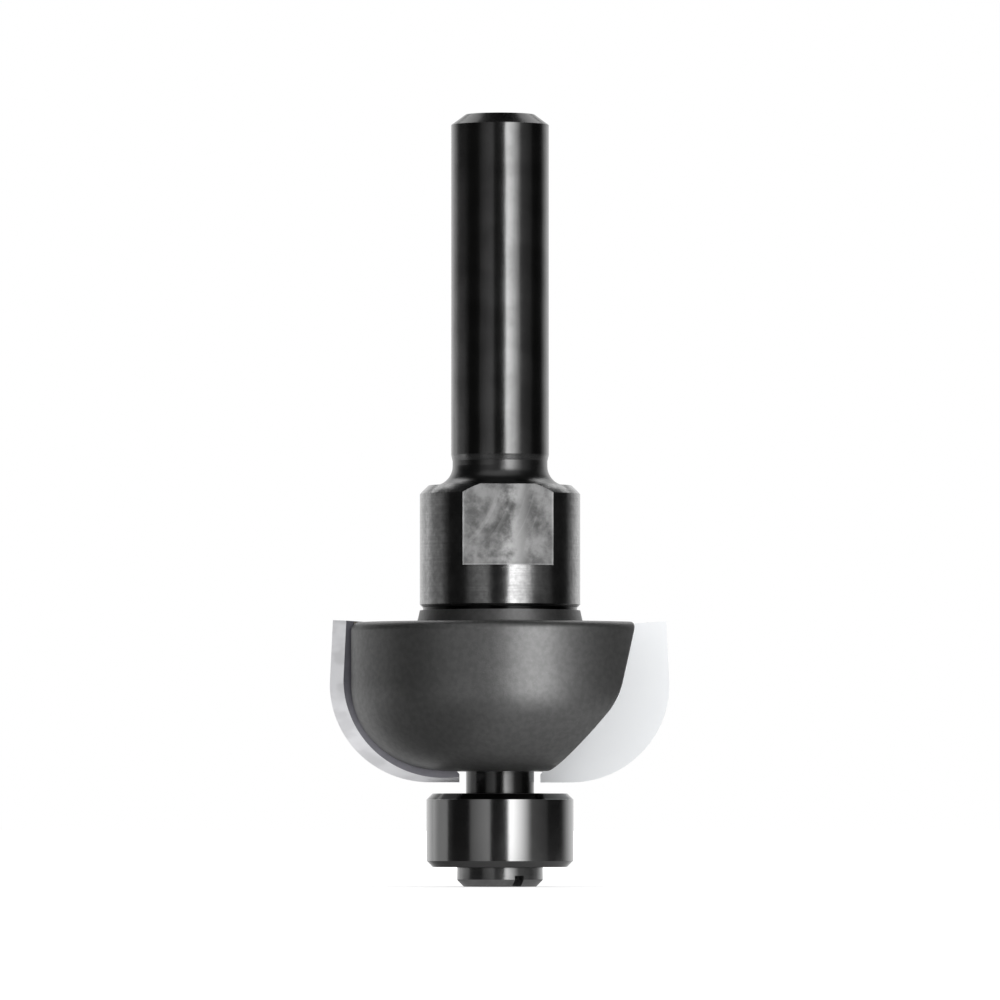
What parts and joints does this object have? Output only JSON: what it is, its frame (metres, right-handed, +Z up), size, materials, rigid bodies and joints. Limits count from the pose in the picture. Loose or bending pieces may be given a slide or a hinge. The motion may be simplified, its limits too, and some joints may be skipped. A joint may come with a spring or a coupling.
{
  "type": "router bit",
  "caption": "Guided cove router bit: cylindrical shank, rounded cutter body with brazed carbide tips, and a ball-bearing pilot held by a slotted screw.",
  "frame": {"origin": "centre of the pilot screw's end face, on the tool's axis", "axes": "+Z up the axis towards the end of the shank; the +X tip's rake face looks along -Y, and the tool cuts turning clockwise seen from the shank"},
  "size_m": [0.0278, 0.0258, 0.0631],
  "materials": {
    "black_oxide_steel": "black oxide: glossy and ground on shank and collar, dull on the bowl",
    "tungsten_carbide": "ground carbide, bright",
    "silver_braze": "dull silver solder",
    "bearing_steel": "ground and polished",
    "pressed_steel": "pressed sheet, satin",
    "screw_steel": "turned, satin"
  },
  "bodies": {
    "cutter": {"cutter_body": "black_oxide_steel", "carbide_tip_a": "tungsten_carbide", "carbide_tip_b": "tungsten_carbide", "braze_a": "silver_braze", "braze_b": "silver_braze", "inner_ring": "bearing_steel", "pilot_screw": "screw_steel"},
    "bearing_outer": {"outer_ring": "bearing_steel", "shield_upper": "pressed_steel", "shield_lower": "pressed_steel", "snap_ring_upper": "pressed_steel", "snap_ring_lower": "pressed_steel"},
    "ball_cage": {"cage_upper": "pressed_steel", "cage_lower": "pressed_steel", "cage_rivets": "pressed_steel"},
    "bearing_ball_1": {"ball_1": "bearing_steel"},
    "bearing_ball_2": {"ball_2": "bearing_steel"},
    "bearing_ball_3": {"ball_3": "bearing_steel"},
    "bearing_ball_4": {"ball_4": "bearing_steel"},
    "bearing_ball_5": {"ball_5": "bearing_steel"},
    "bearing_ball_6": {"ball_6": "bearing_steel"},
    "bearing_ball_7": {"ball_7": "bearing_steel"}
  },
  "joints": [
    {"name": "guide_bearing_spin", "type": "hinge", "parent": "cutter", "child": "bearing_outer", "pos_m": [0, 0, 0.0046], "axis": [0, 0, 1], "continuous": true},
    {"name": "cage_spin", "type": "hinge", "parent": "cutter", "child": "ball_cage", "pos_m": [0, 0, 0.0046], "axis": [0, 0, 1], "continuous": true},
    {"name": "ball_1_spin", "type": "hinge", "parent": "ball_cage", "child": "bearing_ball_1", "pos_m": [0.00419, 0, 0.0046], "axis": [0, 0, 1], "continuous": true},
    {"name": "ball_2_spin", "type": "hinge", "parent": "ball_cage", "child": "bearing_ball_2", "pos_m": [0.00262, 0.00328, 0.0046], "axis": [0, 0, 1], "continuous": true},
    {"name": "ball_3_spin", "type": "hinge", "parent": "ball_cage", "child": "bearing_ball_3", "pos_m": [-0.00093, 0.00409, 0.0046], "axis": [0, 0, 1], "continuous": true},
    {"name": "ball_4_spin", "type": "hinge", "parent": "ball_cage", "child": "bearing_ball_4", "pos_m": [-0.00378, 0.00182, 0.0046], "axis": [0, 0, 1], "continuous": true},
    {"name": "ball_5_spin", "type": "hinge", "parent": "ball_cage", "child": "bearing_ball_5", "pos_m": [-0.00378, -0.00182, 0.0046], "axis": [0, 0, 1], "continuous": true},
    {"name": "ball_6_spin", "type": "hinge", "parent": "ball_cage", "child": "bearing_ball_6", "pos_m": [-0.00093, -0.00409, 0.0046], "axis": [0, 0, 1], "continuous": true},
    {"name": "ball_7_spin", "type": "hinge", "parent": "ball_cage", "child": "bearing_ball_7", "pos_m": [0.00262, -0.00328, 0.0046], "axis": [0, 0, 1], "continuous": true}
  ],
  "couplings": [
    {"joint": "cage_spin", "follows": "guide_bearing_spin", "ratio": 0.64189},
    {"joint": "ball_1_spin", "follows": "guide_bearing_spin", "ratio": 1.62},
    {"joint": "ball_2_spin", "follows": "guide_bearing_spin", "ratio": 1.62},
    {"joint": "ball_3_spin", "follows": "guide_bearing_spin", "ratio": 1.62},
    {"joint": "ball_4_spin", "follows": "guide_bearing_spin", "ratio": 1.62},
    {"joint": "ball_5_spin", "follows": "guide_bearing_spin", "ratio": 1.62},
    {"joint": "ball_6_spin", "follows": "guide_bearing_spin", "ratio": 1.62},
    {"joint": "ball_7_spin", "follows": "guide_bearing_spin", "ratio": 1.62}
  ]
}
